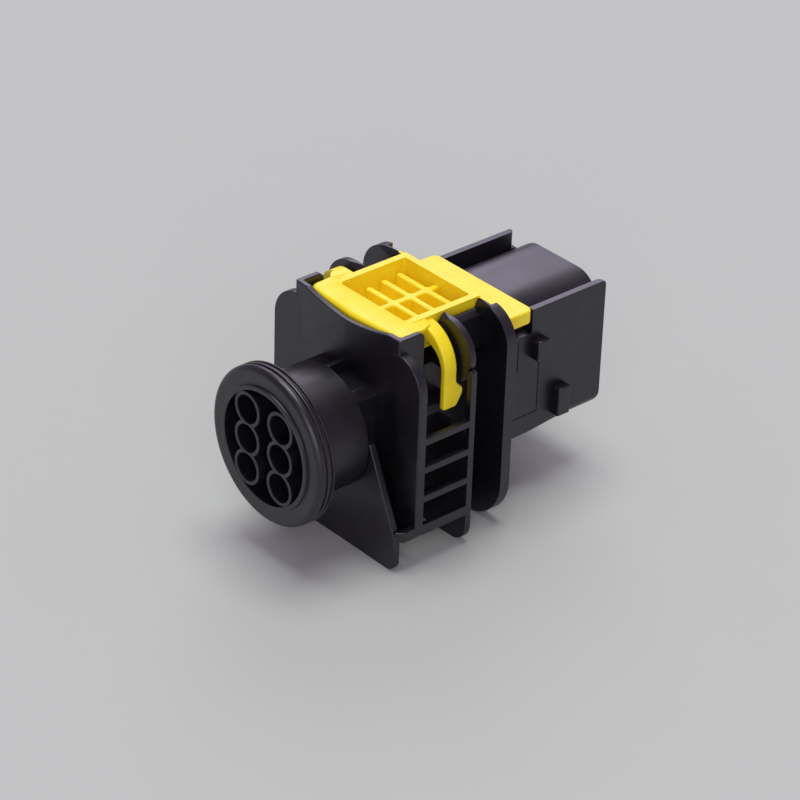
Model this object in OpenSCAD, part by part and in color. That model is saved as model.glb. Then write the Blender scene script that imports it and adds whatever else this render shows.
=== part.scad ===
// Sealed six-way connector: a moulded housing with a round wire-entry barrel at one end and a
// rectangular shroud at the other, a slide-down secondary lock, six tab contacts and six wire seals.
// +Y is the mating direction, +Z is the lock side, and the origin is on the barrel's front face.

/* [Wire entry] */
// Radius of the ridged end ring
ring_r = 14.4; // [13.4:0.1:16]
// Length of the end ring along the barrel
ring_l = 3.7; // [3.6:0.1:4.6]
// Width of each groove in the ring's rim
groove_w = 0.4; // [0.3:0.05:0.5]
// Depth of each groove in the ring's rim
groove_d = 0.45; // [0.3:0.05:0.8]
// Radius of the barrel behind the ring
barrel_r = 11.2; // [10.9:0.1:12]
// How far the inner disc stands in front of the ring's face
disc_step = 0.45; // [0.2:0.05:0.5]
// Wall around the pocket that holds the wire tubes
disc_wall = 0.9; // [0.7:0.05:1.2]
// Depth of the pocket between the wire tubes
pocket_d = 9; // [6:0.5:11]
// Wall of each wire tube
tube_wall = 0.7; // [0.5:0.05:0.9]

/* [Cavities] */
// Distance between the two columns of cavities
column_pitch = 8.58; // [8.2:0.02:9]
// Distance between the three rows of cavities
row_pitch = 5.67; // [5.6:0.01:6.1]
// Radius of a cavity where the wire seal sits
cavity_r = 2.6; // [2.4:0.05:2.65]
// Depth of the round part of a cavity
seal_bore_l = 21.6; // [20:0.1:22]
// Width of the square part of a cavity
chamber_w = 3.9; // [3.8:0.05:4.2]
// Height of the square part of a cavity
chamber_h = 3.4; // [3.35:0.05:3.6]

/* [Plates] */
// Half of the width across the plates
plate_half_w = 19; // [18.5:0.1:20]
// Height of the plates' lower edges below the barrel's axis
foot_drop = 21.2; // [20:0.1:23]
// Front face of the apron
apron_y = 13.85; // [13:0.05:14.5]
// Thickness of the apron
apron_t = 1.5; // [1.2:0.1:2]
// Front face of the collar plate
collar_y = 17.7; // [17.2:0.1:18]
// Thickness of the collar plate
collar_t = 1.85; // [1.5:0.05:2]
// Front face of the hook plate
hook_y = 29.2; // [29.1:0.05:29.6]
// Thickness of the hook plate
hook_t = 1.25; // [1.1:0.05:1.5]
// Front face of the rear flange
flange_y = 37.35; // [37.2:0.05:37.8]
// Thickness of the rear flange
flange_t = 2.1; // [1.8:0.1:2.2]
// Height of one rung between the plates
rung_h = 1.3; // [1:0.1:1.6]
// Thickness of the rungs and rails across the part
rung_t = 1.05; // [0.8:0.05:1.1]
// Top of the horns of the hook plate and the rear flange
horn_top = 20.4; // [20:0.1:21]
// Top of the collar plate's shoulders
shoulder_top = 17.85; // [17:0.05:18.5]

/* [Collar] */
// Half of the width of the collar around the lock
collar_half_w = 13.6; // [13.5:0.1:14]
// Wall of the collar
collar_wall = 1.15; // [1:0.05:1.3]
// Top of the collar above the barrel's axis
collar_top = 20.4; // [20:0.1:21]
// Depth of the dip in the collar's front wall
collar_dip = 1.5; // [1:0.05:2.4]
// Length of the collar's side walls
collar_l = 5.6; // [4.5:0.1:6]

/* [Shroud] */
// Half of the width of the shroud
shroud_half_w = 12.1; // [11.9:0.1:12.3]
// Underside of the shroud below the barrel's axis
shroud_drop = 9.9; // [9.8:0.1:10.5]
// End of the shroud, measured from the barrel's front face
shroud_end = 66.75; // [65:0.25:70]
// Wall of the shroud
shroud_wall = 1.5; // [1.3:0.1:1.8]
// Depth of the shroud's mouth
mouth_d = 19.5; // [18:0.5:19.5]
// Top of the two side fins
fin_top = 14.9; // [14.5:0.1:15.5]
// Thickness of a side fin
fin_t = 1.15; // [1:0.05:1.5]
// Top of the raised middle of the shroud
hump_top = 14.7; // [14:0.1:14.9]
// How far the lugs stand out from the shroud's sides
lug_h = 1.9; // [1.5:0.1:2.4]
// Length of a lug along the shroud
lug_l = 2.9; // [2.5:0.1:3.5]

/* [Lock] */
// Top face of the lock before it is pressed
lock_top = 19.6; // [19.4:0.1:19.8]
// Travel of the lock from delivered to locked
lock_travel = 2.2; // [1.8:0.1:2.2]
// Half of the width of the lock's frame
frame_half_w = 9.65; // [9.5:0.05:9.8]
// Wall of the lock's frame
frame_wall = 1.8; // [1.2:0.1:2]
// How far the frame's rim stands above the lock's top face
rim_rise = 0.6; // [0.2:0.1:0.8]
// Height of the lock's frame
frame_h = 5.3; // [5:0.1:5.3]
// Depth from the lock's top face to the ribs in its tray
rib_drop = 1.3; // [1.2:0.1:2.4]
// Half of the width of the lock's rear tab
tab_half_w = 12.65; // [12.3:0.05:13]
// Top face of the lock's rear tab
tab_top = 15.4; // [15.3:0.1:15.6]
// Thickness of the lock's rear tab
tab_t = 2.6; // [2:0.1:2.6]
// Width of each arm along the part
arm_w = 2.75; // [2.5:0.05:3]
// Thickness of each arm
arm_t = 1.3; // [1.1:0.05:1.5]
// Distance from the plates' edges in to the arms' outer faces
arm_inset = 2.9; // [2.7:0.05:3.1]
// Radius of the bend at the top of the right arm
arm_bend = 7.4; // [6.5:0.1:7.5]
// Radius of the squarer bend at the top of the left arm
left_arm_bend = 4; // [3.5:0.1:7.4]
// Lower end of the arms
arm_end = 5.2; // [4.5:0.1:5.5]
// How far a barb stands out behind its arm
barb_out = 1.5; // [1:0.05:1.6]
// Thickness of the blocking comb
comb_t = 1.6; // [1.4:0.1:1.8]

/* [Contacts and seals] */
// Width of a tab
blade_w = 2.8; // [2.6:0.05:2.8]
// Thickness of a tab
blade_t = 0.8; // [0.6:0.05:0.8]
// Length of a tab in front of its box
blade_l = 12.4; // [11:0.2:14]
// Width of a contact's box
box_w = 3.4; // [3.2:0.05:3.5]
// Height of a contact's box
box_h = 3; // [2.8:0.05:3.1]
// Sheet thickness of a contact
sheet_t = 0.35; // [0.3:0.05:0.4]
// Length of a wire seal
seal_l = 7; // [6:0.25:8]
// Radius of the wire hole in a seal
seal_hole_r = 0.85; // [0.7:0.05:1]

/* [Clearances] */
// Gap around the moving lock
lock_gap = 0.3; // [0.25:0.05:0.35]
// Gap between a seal's ridges and its cavity
seal_gap = 0.02; // [0.01:0.01:0.04]
// Gap around a tab in the wall that it passes through
blade_gap = 0.15; // [0.1:0.05:0.2]

/* [Hidden] */
$fn = 64;
eps = 0.01;
housing_colour = [0.13, 0.12, 0.14];
lock_colour = [0.98, 0.84, 0.12];
metal_colour = [0.78, 0.78, 0.8];
rubber_colour = [0.25, 0.25, 0.27];
cells = [[-1, 1], [1, 1], [-1, 0], [1, 0], [-1, -1], [1, -1]];

// Wire entry
disc_r = barrel_r + 0.05;
pocket_r = disc_r - disc_wall;
tube_r = cavity_r + tube_wall;
ring_bevel = 1.05;
neck_half_w = column_pitch / 2 + cavity_r + 1.2;
neck_half_h = row_pitch + cavity_r + 0.9;

// Comb of the lock
window_w = chamber_w + 0.5;
window_h = chamber_h + 0.6;
comb_y = hook_y + hook_t + 2.25;
comb_bottom = row_pitch + window_h / 2 + 1.5;
comb_half_w = column_pitch / 2 + window_w / 2 + 1.4;

// Core between the plates
core_half_w = column_pitch / 2 + chamber_w / 2 + 4.15;
core_top = lock_top - frame_h - lock_travel - lock_gap - 0.2;
core_drop = comb_bottom + lock_travel + lock_gap + 1.9;
seat_top = tab_top - tab_t - lock_travel - lock_gap;
slot_half_w = frame_half_w + lock_gap + 0.1;
guide_top = 17.85;
guide_t = 1.55;
guide_rise = 0.85;
rung_a_low = 2.25;
rung_b_low = -3.25;
rung_c_low = -8.95;
rung_d_low = -15.35;

// Lock
arm_out = plate_half_w - arm_inset;
arm_y = hook_y - 2 * lock_gap - arm_w;
barb_top = 9.95;
barb_root = 1.5;
hook_tip_z = barb_top + lock_gap;
collar_inside = collar_y + collar_wall;
collar_v = 0.55;
lock_front = collar_inside + lock_gap + 0.05;
plate_half = collar_half_w - collar_wall - lock_gap - 0.1;
plate_back = lock_front + 4.7;
rear_wall_y = flange_y + 0.55;
rear_wall_t = 1.25;
ear_front = 1.2;
ear_out = 1.45;
ear_low = 18.4;
tab_front = flange_y + flange_t + lock_gap;
tab_back = tab_front + 9.3;
fin_front = tab_back + lock_gap;
shroud_foot = [[shroud_half_w, 1.2 - shroud_drop], [shroud_half_w - 0.4, 0.4 - shroud_drop],
    [shroud_half_w - 1.2, -shroud_drop], [0, -shroud_drop]];

// Contacts
chamber_end = 43.5;
box_y = comb_y + comb_t + 0.45;
box_l = chamber_end - box_y - 0.2;
crimp_y = seal_bore_l + 0.7;
seal_y = 11.5;
mouth_y = shroud_end - mouth_d;

// Points of an arc in the X-Z plane, from angle a to angle b
function arc(x, z, r, a, b, steps = 8) =
    [for (i = [0:steps]) [x + r * cos(a + (b - a) * i / steps), z + r * sin(a + (b - a) * i / steps)]];

// An outline's right half followed by its mirrored left half
function both_halves(right) = concat(right, [for (i = [len(right) - 1:-1:0]) [-right[i][0], right[i][1]]]);

// A plate across the part, from its front face at y, with its outline in X and Z
module slab(y, thickness, outline) {
    translate([0, y + thickness, 0]) rotate([90, 0, 0]) linear_extrude(thickness) polygon(outline);
}

// A box between two corners
module block(low, high) {
    translate(low) cube(high - low);
}

// A round bar along Y
module bar(x, z, r, y, length) {
    translate([x, y, z]) rotate([-90, 0, 0]) cylinder(h = length, r = r);
}

// The same shape on the left and on the right
module on_both_sides() {
    children();
    mirror([1, 0, 0]) children();
}

// One copy of its children at the axis of every cavity
module at_each_cavity() {
    for (cell = cells) translate([cell[0] * column_pitch / 2, 0, cell[1] * row_pitch]) children();
}

// Ring, disc rim and barrel as one turned body
module barrel() {
    groove_2 = ring_l - groove_w - 0.4;
    groove_1 = groove_2 - groove_w - 0.7;
    rotate([-90, 0, 0]) rotate_extrude(convexity = 6) polygon([
        [0, 0], [disc_r, 0], [disc_r, disc_step], [ring_r - ring_bevel, disc_step],
        [ring_r - 0.3, disc_step + 0.3], [ring_r, disc_step + ring_bevel],
        [ring_r, groove_1], [ring_r - groove_d, groove_1],
        [ring_r - groove_d, groove_1 + groove_w], [ring_r, groove_1 + groove_w],
        [ring_r, groove_2], [ring_r - groove_d, groove_2],
        [ring_r - groove_d, groove_2 + groove_w], [ring_r, groove_2 + groove_w],
        [ring_r, ring_l], [barrel_r, ring_l], [barrel_r, apron_y], [0, apron_y]]);
}

// Narrower neck between the barrel and the collar plate, with a thin web on its top
module neck() {
    intersection() {
        block([-neck_half_w, apron_y - eps, -neck_half_h], [neck_half_w, collar_y + eps, neck_half_h]);
        bar(0, 0, barrel_r, apron_y - eps, collar_y - apron_y + 2 * eps);
    }
    block([-0.5, apron_y - 0.5, 0], [0.5, collar_y + eps, barrel_r - 0.1]);
}

// Apron that spreads from the barrel's sides to the full width
module apron() {
    spread_z = -16.7;
    corner_r = 2.6;
    slab(apron_y, apron_t, both_halves(concat(
        [[0, 0.6], [barrel_r, 0.6], [plate_half_w, spread_z]],
        arc(plate_half_w - corner_r, corner_r - foot_drop, corner_r, 0, -90, 6))));
}

// Collar plate with its rounded shoulders
module collar_plate() {
    shoulder_r = 6;
    slab(collar_y, collar_t, both_halves(concat(
        [[0, shoulder_top]],
        arc(plate_half_w - shoulder_r, shoulder_top - shoulder_r, shoulder_r, 90, 0),
        [[plate_half_w, rung_d_low], [0, rung_d_low]])));
}

// Low wall around the front of the lock: a dipped front wall and two short side walls
module collar_wall_ring() {
    back = collar_y + collar_l;
    corner_r = 1.3;
    low = core_top - collar_wall;
    translate([-collar_half_w, 0, 0]) rotate([90, 0, 90]) linear_extrude(2 * collar_half_w) polygon(concat(
        [[collar_y, low], [collar_y, collar_top]],
        arc(back - corner_r, collar_top - corner_r, corner_r, 90, 0, 4), [[back, low]]));
    translate([0, 0, core_top - 0.3]) linear_extrude(collar_top - core_top + 0.3) polygon([
        [-collar_half_w, collar_y + 0.1], [0, collar_y - collar_v + 0.05], [collar_half_w, collar_y + 0.1]]);
}

// Room inside the collar: its front face follows the bend of the collar's front wall
module collar_room() {
    half_w = collar_half_w - collar_wall;
    translate([0, 0, core_top]) linear_extrude(collar_top) polygon([
        [0, collar_inside - collar_v], [half_w, collar_inside], [half_w, hook_y - eps],
        [-half_w, hook_y - eps], [-half_w, collar_inside]]);
}

// Dip in the top edge of the collar's front wall
module collar_dip_cut() {
    dip_half_w = 10.5;
    slab(collar_y - 1, collar_wall + 1.2, concat(
        [[dip_half_w, collar_top + 1], [-dip_half_w, collar_top + 1]],
        [for (i = [-6:6]) [i * dip_half_w / 6, collar_top - collar_dip * (1 - i * i / 36)]]));
}

// Outline of one horn beside the lock's slot, from its inner edge to the plate's side
function horn(inner_w, half_w, low) =
    let (r = half_w - inner_w - 2)
    concat([[inner_w, low], [inner_w, horn_top - 0.5], [inner_w + 0.4, horn_top]],
        arc(half_w - r, horn_top - r, r, 90, 0));

// Hook plate: two horns whose tips curl in over the barbs, with a slot for the lock between them
module hook_plate() {
    rail_x = plate_half_w - rung_t;
    difference() {
        slab(hook_y, hook_t, both_halves(concat(
            [[0, core_top]],
            horn(slot_half_w, plate_half_w - 0.4, core_top),
            [[plate_half_w - 0.9, 13.1], [plate_half_w - 1.6, hook_tip_z], [rail_x, hook_tip_z],
                [rail_x, 12.4], [rail_x + 0.35, 12.9], [plate_half_w - 0.35, 12.9], [plate_half_w, 12.4]],
            arc(plate_half_w - 2.5, 2.5 - foot_drop, 2.5, 0, -90, 5))));
        on_both_sides() horn_lead_in(hook_y, hook_t + 0.2, 3.3);
    }
}

// Slanted corner that leads the lock's frame in between two horns, from a plate's front face at y
module horn_lead_in(y, depth, reach) {
    x = slot_half_w;
    polyhedron(
        points = [[x - 0.6, y + depth, horn_top + 0.2], [x - 0.6, y - 0.1, horn_top - 2.2],
            [x - 0.6, y - 0.1, horn_top + 0.2], [x + reach, y - 0.1, horn_top + 0.2]],
        faces = [[0, 1, 2], [0, 2, 3], [1, 3, 2], [0, 3, 1]]);
}

// Rear flange with two horns beside the slot for the lock, each with a recess for the lock's ear
module rear_flange() {
    corner_r = 8.5;
    half_w = plate_half_w - 0.3;
    ear_y = flange_y + ear_front - lock_gap;
    difference() {
        slab(flange_y, flange_t, both_halves(concat(
            [[0, seat_top]],
            horn(slot_half_w, half_w, seat_top),
            arc(half_w - corner_r, corner_r - foot_drop, corner_r, 0, -90))));
        on_both_sides() {
            block([slot_half_w - 0.1, ear_y, ear_low - lock_travel - lock_gap - 0.1],
                [frame_half_w + ear_out + 2.2, flange_y + flange_t + 1, horn_top + 1]);
            horn_lead_in(flange_y, 0.8, 6);
        }
    }
}

// Rails and rungs along one side, the inner shelf behind them and the guide wall of the lock
module side_ladder() {
    inner = plate_half_w - rung_t;
    back = hook_y + eps;
    for (z = [rung_a_low, rung_b_low, rung_c_low])
        block([inner, collar_y, z], [plate_half_w, back, z + rung_h]);
    block([inner, apron_y + 0.2, rung_d_low], [plate_half_w, back, rung_d_low + 1.95]);
    block([core_half_w - eps, collar_y, 4.3], [arm_out - arm_t - 0.4, back, 6.1]);
    slab(hook_y, flange_y + eps - hook_y, [[slot_half_w, core_top - collar_wall],
        [slot_half_w, guide_top + guide_rise], [slot_half_w + guide_t / 3, guide_top + guide_rise],
        [slot_half_w + guide_t, guide_top], [slot_half_w + guide_t, core_top - collar_wall]]);
}

// Solid core that holds the cavities, from the collar plate to the shroud's end
module core() {
    block([-core_half_w, collar_y, -core_drop], [core_half_w, flange_y + eps, core_top]);
    block([-slot_half_w - guide_t, hook_y, core_top - collar_wall],
        [slot_half_w + guide_t, flange_y + eps, core_top]);
    block([-0.9, apron_y, -foot_drop + 1], [0.9, flange_y + eps, -core_drop + eps]);
    slab(flange_y, fin_front - flange_y + eps, both_halves(concat([[0, seat_top],
        [shroud_half_w, seat_top]], shroud_foot)));
}

// Rectangular shroud with a raised middle and two side fins on its top
module shroud() {
    valley = seat_top + 0.9;
    fin_x = shroud_half_w - fin_t;
    corner_r = 2.2;
    intersection() {
        slab(fin_front, shroud_end - fin_front, both_halves(concat([
            [0, hump_top], [4.8, hump_top], [6.4, hump_top - 0.4], [7.8, hump_top - 1.1], [9, hump_top - 2],
            [10.2, valley + 0.3], [fin_x, valley], [fin_x, fin_top], [shroud_half_w, fin_top]], shroud_foot)));
        translate([-shroud_half_w - 1, 0, 0]) rotate([90, 0, 90]) linear_extrude(2 * shroud_half_w + 2)
            polygon(concat(
                [[fin_front - 1, -shroud_drop - 1], [fin_front - 1, fin_top + 1]],
                arc(shroud_end - 1.2, fin_top - 1.2, 1.2, 90, 0, 5),
                arc(shroud_end - corner_r, corner_r - shroud_drop, corner_r, 0, -90, 6),
                [[fin_front, -shroud_drop]]));
    }
}

// Slanted rear ends of the two fins, which lead the mating half in
module fin_lead_in() {
    x = shroud_half_w - fin_t;
    translate([0, 0, seat_top + 0.9]) linear_extrude(fin_top) polygon([
        [x - eps, shroud_end - 1.1], [shroud_half_w, shroud_end + 0.05], [x - eps, shroud_end + 0.05]]);
}

// Inside of the shroud's mouth, with a key channel under the raised middle
module mouth() {
    inside = shroud_half_w - shroud_wall;
    roof = seat_top + 0.9 - shroud_wall;
    block([-inside, mouth_y, -shroud_drop + shroud_wall], [inside, shroud_end + 1, roof]);
    block([-5.2, fin_front + 1.2, 0], [5.2, shroud_end + 1, hump_top - shroud_wall]);
}

// Two lugs on one shroud wall, which the mating half's slide pulls on
module cam_lugs() {
    x = shroud_half_w - 0.1;
    block([x, fin_front, 5.3], [shroud_half_w + lug_h, fin_front + lug_l, 9.1]);
    block([x, fin_front + 5.6, 1.5 - shroud_drop], [shroud_half_w + lug_h, fin_front + 5.6 + lug_l, -2.2]);
}

// Everything that is cut out for one cavity, from the wire entry to the tab in the mouth
module cavity() {
    bar(0, 0, cavity_r, -1, seal_bore_l + 1);
    block([-chamber_w / 2, seal_bore_l - eps, -box_h / 2],
        [chamber_w / 2, chamber_end, chamber_h - box_h / 2]);
    block([-blade_w / 2 - blade_gap, chamber_end - 1, -blade_t / 2 - blade_gap],
        [blade_w / 2 + blade_gap, mouth_y + 1, blade_t / 2 + blade_gap]);
}

// Pocket between the wire tubes
module tube_pocket() {
    difference() {
        bar(0, 0, pocket_r, -1, pocket_d + 1);
        at_each_cavity() bar(0, 0, tube_r, -2, pocket_d + 3);
    }
}

// Space for the lock: its bay, the comb's slot and the catches under the hooks
module lock_space() {
    block([-slot_half_w, collar_inside, core_top], [slot_half_w, flange_y, collar_top + 2]);
    collar_room();
    block([-comb_half_w - lock_gap, comb_y - lock_gap, -comb_bottom - lock_travel - lock_gap],
        [comb_half_w + lock_gap, comb_y + comb_t + lock_gap, core_top + 1]);
    on_both_sides() block([arm_out - arm_t - lock_gap, hook_y - 1, 0.8],
        [plate_half_w - rung_t, hook_y + hook_t + 1, hook_tip_z]);
}

module housing() {
    color(housing_colour) difference() {
        union() {
            barrel();
            neck();
            apron();
            collar_plate();
            collar_wall_ring();
            hook_plate();
            rear_flange();
            on_both_sides() side_ladder();
            core();
            shroud();
            on_both_sides() cam_lugs();
        }
        tube_pocket();
        at_each_cavity() cavity();
        mouth();
        lock_space();
        collar_dip_cut();
        on_both_sides() fin_lead_in();
    }
}

// Front plate, tray, raised rim, rear wall and rear ears of the lock
module lock_frame() {
    low = lock_top - frame_h;
    rim_top = lock_top + rim_rise;
    rear = rear_wall_y + rear_wall_t;
    difference() {
        union() {
            block([-frame_half_w, plate_back - 1.15, low], [frame_half_w, rear, lock_top]);
            block([-frame_half_w, plate_back + 1.1, low], [frame_half_w, rear, rim_top]);
            block([-frame_half_w - ear_out, flange_y + ear_front, ear_low],
                [frame_half_w + ear_out, rear, lock_top + 0.3]);
            front_plate();
        }
        block([-frame_half_w + frame_wall, plate_back, low + 1.3],
            [frame_half_w - frame_wall, rear_wall_y, rim_top + 1]);
    }
}

// The lock's thin front plate, which follows the bend of the collar's front wall
module front_plate() {
    corner_r = 2;
    translate([0, 0, lock_top - 2.2]) linear_extrude(2.2) polygon(both_halves(concat(
        [[0, lock_front - collar_v]],
        arc(plate_half - corner_r, lock_front + corner_r, corner_r, -90, 0, 4),
        [[plate_half, arm_y + 0.1], [0, arm_y + 0.1]])));
}

// Ribs on the tray's floor: three across and one along
module tray_ribs() {
    low = lock_top - frame_h + 1;
    high = lock_top - rib_drop;
    rib_t = 1.2;
    for (i = [0:2]) {
        y = plate_back + 4 + i * 3.7;
        block([0.9 + 0.35 * (2 - i) - frame_half_w + frame_wall, y, low], [frame_half_w - 0.3, y + rib_t, high]);
    }
    block([-rib_t / 2, plate_back + 4.3, low], [rib_t / 2, rear_wall_y + 0.3, high]);
}

// Rear tab that lies over the housing behind the rear flange
module rear_tab() {
    cut = 1;
    low = tab_top - tab_t;
    translate([0, 0, low]) linear_extrude(tab_t) polygon(both_halves([
        [tab_half_w, tab_front], [tab_half_w, tab_back - cut], [tab_half_w - cut, tab_back]]));
    block([-frame_half_w, rear_wall_y, low], [frame_half_w, tab_front + eps, tab_top]);
}

// An arm on the right: it leaves the frame level, bends down and ends in a barb at its back
module arm(bend) {
    inner_r = 4.5;
    inner_x = arm_out - arm_t - inner_r;
    inner_z = lock_top - 7.55;
    back = arm_y + arm_w;
    tip_y = back + barb_out;
    slab(arm_y, arm_w, concat(
        [[frame_half_w - 1, lock_top]],
        arc(arm_out - bend, lock_top - bend, bend, 90, 0),
        [[arm_out, arm_end + 0.3], [arm_out - 0.3, arm_end], [arm_out - arm_t, arm_end]],
        arc(inner_x, inner_z, inner_r, 0, 90),
        [[frame_half_w - 1, inner_z + inner_r]]));
    translate([arm_out - arm_t, 0, 0]) rotate([90, 0, 90]) linear_extrude(arm_t) polygon([
        [back - 0.5, barb_top], [back, barb_top], [tip_y, barb_top - barb_root],
        [tip_y, barb_top - barb_root - 0.7], [back, arm_end], [back - 0.5, arm_end]]);
}

// Comb that stands in the housing's slot and blocks the contacts when the lock is pressed
module comb() {
    difference() {
        block([-comb_half_w, comb_y, -comb_bottom], [comb_half_w, comb_y + comb_t, lock_top - frame_h + eps]);
        at_each_cavity() block([-window_w / 2, comb_y - 1, -window_h / 2],
            [window_w / 2, comb_y + comb_t + 1, window_h / 2]);
    }
}

module secondary_lock() {
    color(lock_colour) {
        lock_frame();
        tray_ribs();
        rear_tab();
        arm(arm_bend);
        mirror([1, 0, 0]) arm(left_arm_bend);
        comb();
    }
}

// A folded strip: a floor and two side wings that open upwards
module channel(y, length, width, height) {
    floor_z = -box_h / 2;
    difference() {
        block([-width / 2, y, floor_z], [width / 2, y + length, floor_z + height]);
        block([-width / 2 + sheet_t, y - 1, floor_z + sheet_t],
            [width / 2 - sheet_t, y + length + 1, floor_z + height + 1]);
    }
}

// Tab contact: wire grips at the back, a low neck under the comb, a box and a blade
module contact(cell) {
    blade_end = box_y + box_l + blade_l;
    color(metal_colour) translate([cell[0] * column_pitch / 2, 0, cell[1] * row_pitch]) {
        channel(crimp_y, 3, 3.2, 2.9);
        channel(crimp_y + 3.9, 3.9, 2.8, 2.1);
        channel(crimp_y, box_y - crimp_y + eps, 2.6, 0.9);
        difference() {
            block([-box_w / 2, box_y, -box_h / 2], [box_w / 2, box_y + box_l, box_h / 2]);
            block([-box_w / 2 + sheet_t, box_y - 1, sheet_t - box_h / 2],
                [box_w / 2 - sheet_t, box_y + box_l - 1.5, box_h / 2 - sheet_t]);
            block([-0.7, box_y + 2, 0], [0.7, box_y + 4.5, box_h]);
        }
        translate([0, 0, -blade_t / 2]) linear_extrude(blade_t) polygon(both_halves([
            [blade_w / 2, box_y + box_l - 1], [blade_w / 2, blade_end - 1.6], [0.55, blade_end]]));
    }
}

module contact_1() {
    contact(cells[0]);
}

module contact_2() {
    contact(cells[1]);
}

module contact_3() {
    contact(cells[2]);
}

module contact_4() {
    contact(cells[3]);
}

module contact_5() {
    contact(cells[4]);
}

module contact_6() {
    contact(cells[5]);
}

// Wire seal: a turned sleeve with three ridges and a through hole for the wire
module wire_seal(cell) {
    ridge_r = cavity_r - seal_gap;
    waist_r = ridge_r - 0.45;
    step = seal_l / 7;
    color(rubber_colour) translate([cell[0] * column_pitch / 2, seal_y, cell[1] * row_pitch])
        rotate([-90, 0, 0]) difference() {
            rotate_extrude() polygon(concat(
                [[0, 0], [waist_r, 0]],
                [for (i = [0:2]) each [[waist_r, step * (0.4 + 1.7 * i)], [ridge_r, step * (0.9 + 1.7 * i)],
                    [ridge_r, step * (1.3 + 1.7 * i)], [waist_r, step * (1.8 + 1.7 * i)]]],
                [[waist_r - 0.5, step * 5.6], [waist_r - 0.5, seal_l], [0, seal_l]]));
            translate([0, 0, -1]) cylinder(h = seal_l + 2, r = seal_hole_r);
        }
}

module wire_seal_1() {
    wire_seal(cells[0]);
}

module wire_seal_2() {
    wire_seal(cells[1]);
}

module wire_seal_3() {
    wire_seal(cells[2]);
}

module wire_seal_4() {
    wire_seal(cells[3]);
}

module wire_seal_5() {
    wire_seal(cells[4]);
}

module wire_seal_6() {
    wire_seal(cells[5]);
}

housing();
secondary_lock();
contact_1();
contact_2();
contact_3();
contact_4();
contact_5();
contact_6();
wire_seal_1();
wire_seal_2();
wire_seal_3();
wire_seal_4();
wire_seal_5();
wire_seal_6();
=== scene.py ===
import math

import bmesh
import bpy
from mathutils import Matrix, Vector


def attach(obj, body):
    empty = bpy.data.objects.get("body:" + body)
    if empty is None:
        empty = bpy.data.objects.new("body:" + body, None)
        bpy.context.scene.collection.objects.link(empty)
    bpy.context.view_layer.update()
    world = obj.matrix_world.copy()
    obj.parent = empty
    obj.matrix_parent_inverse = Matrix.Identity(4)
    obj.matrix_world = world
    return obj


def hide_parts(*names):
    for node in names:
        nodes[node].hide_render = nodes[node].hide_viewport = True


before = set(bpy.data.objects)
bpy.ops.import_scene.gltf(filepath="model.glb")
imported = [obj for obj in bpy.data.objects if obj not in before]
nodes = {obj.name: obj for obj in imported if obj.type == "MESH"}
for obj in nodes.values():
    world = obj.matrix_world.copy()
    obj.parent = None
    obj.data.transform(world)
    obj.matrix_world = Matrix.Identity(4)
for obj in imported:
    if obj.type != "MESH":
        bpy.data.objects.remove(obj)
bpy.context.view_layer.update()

mm = 0.001


# shader wiring
class Wire:  # an output socket that takes part in sums
    def __init__(self, tree, socket=None):
        self.tree = tree
        self.socket = socket

    def node(self, kind, settings=None, inputs=None, output=0):
        made = self.tree.nodes.new(kind)
        for name, value in (settings or {}).items():
            setattr(made, name, value)
        for name, value in (inputs or {}).items():
            if isinstance(value, Wire):
                self.tree.links.new(value.socket, made.inputs[name])
            else:
                made.inputs[name].default_value = value
        return Wire(self.tree, made.outputs[output] if made.outputs else None)

    def maths(self, operation, first, second):
        return self.node("ShaderNodeMath", {"operation": operation}, {0: first, 1: second})

    def __add__(self, other):
        return self.maths("ADD", self, other)

    def __radd__(self, other):
        return self.maths("ADD", other, self)

    def __sub__(self, other):
        return self.maths("SUBTRACT", self, other)

    def __rsub__(self, other):
        return self.maths("SUBTRACT", other, self)

    def __mul__(self, other):
        return self.maths("MULTIPLY", self, other)

    def __rmul__(self, other):
        return self.maths("MULTIPLY", other, self)

    def blend(self, first, second):  # this value fades one colour into another
        return self.node("ShaderNodeMix", {"data_type": "RGBA"}, {0: self, 6: first, 7: second}, 2)

    def stretched(self, scale):
        return self.node("ShaderNodeVectorMath", {"operation": "MULTIPLY"}, {0: self, 1: scale})

    def noise(self, scale, detail=2.0, roughness=0.5):
        return self.node("ShaderNodeTexNoise", None, {"Vector": self, "Scale": scale, "Detail": detail,
                                                      "Roughness": roughness})

    def ranged(self, low, high, newLow=0.0, newHigh=1.0):
        return self.node("ShaderNodeMapRange", {"interpolation_type": "SMOOTHSTEP"},
                         {"Value": self, "From Min": low, "From Max": high, "To Min": newLow,
                          "To Max": newHigh})


def newMaterial(name):
    material = bpy.data.materials.new(name)
    material.use_nodes = True
    tree = material.node_tree
    tree.nodes.clear()
    start = Wire(tree)
    place = start.node("ShaderNodeTexCoord", output=3).stretched((1 / mm, 1 / mm, 1 / mm))  # millimetres
    return material, start, place


def finishMaterial(start, inputs, height=None):  # height is in millimetres
    if height:
        inputs["Normal"] = start.node("ShaderNodeBump", None, {"Height": height, "Distance": mm,
                                                               "Strength": 1.0})
    shader = start.node("ShaderNodeBsdfPrincipled", None, inputs)
    start.node("ShaderNodeOutputMaterial", {"is_active_output": True}, {"Surface": shader})


def rgb(red, green, blue):
    return (red, green, blue, 1.0)


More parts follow.
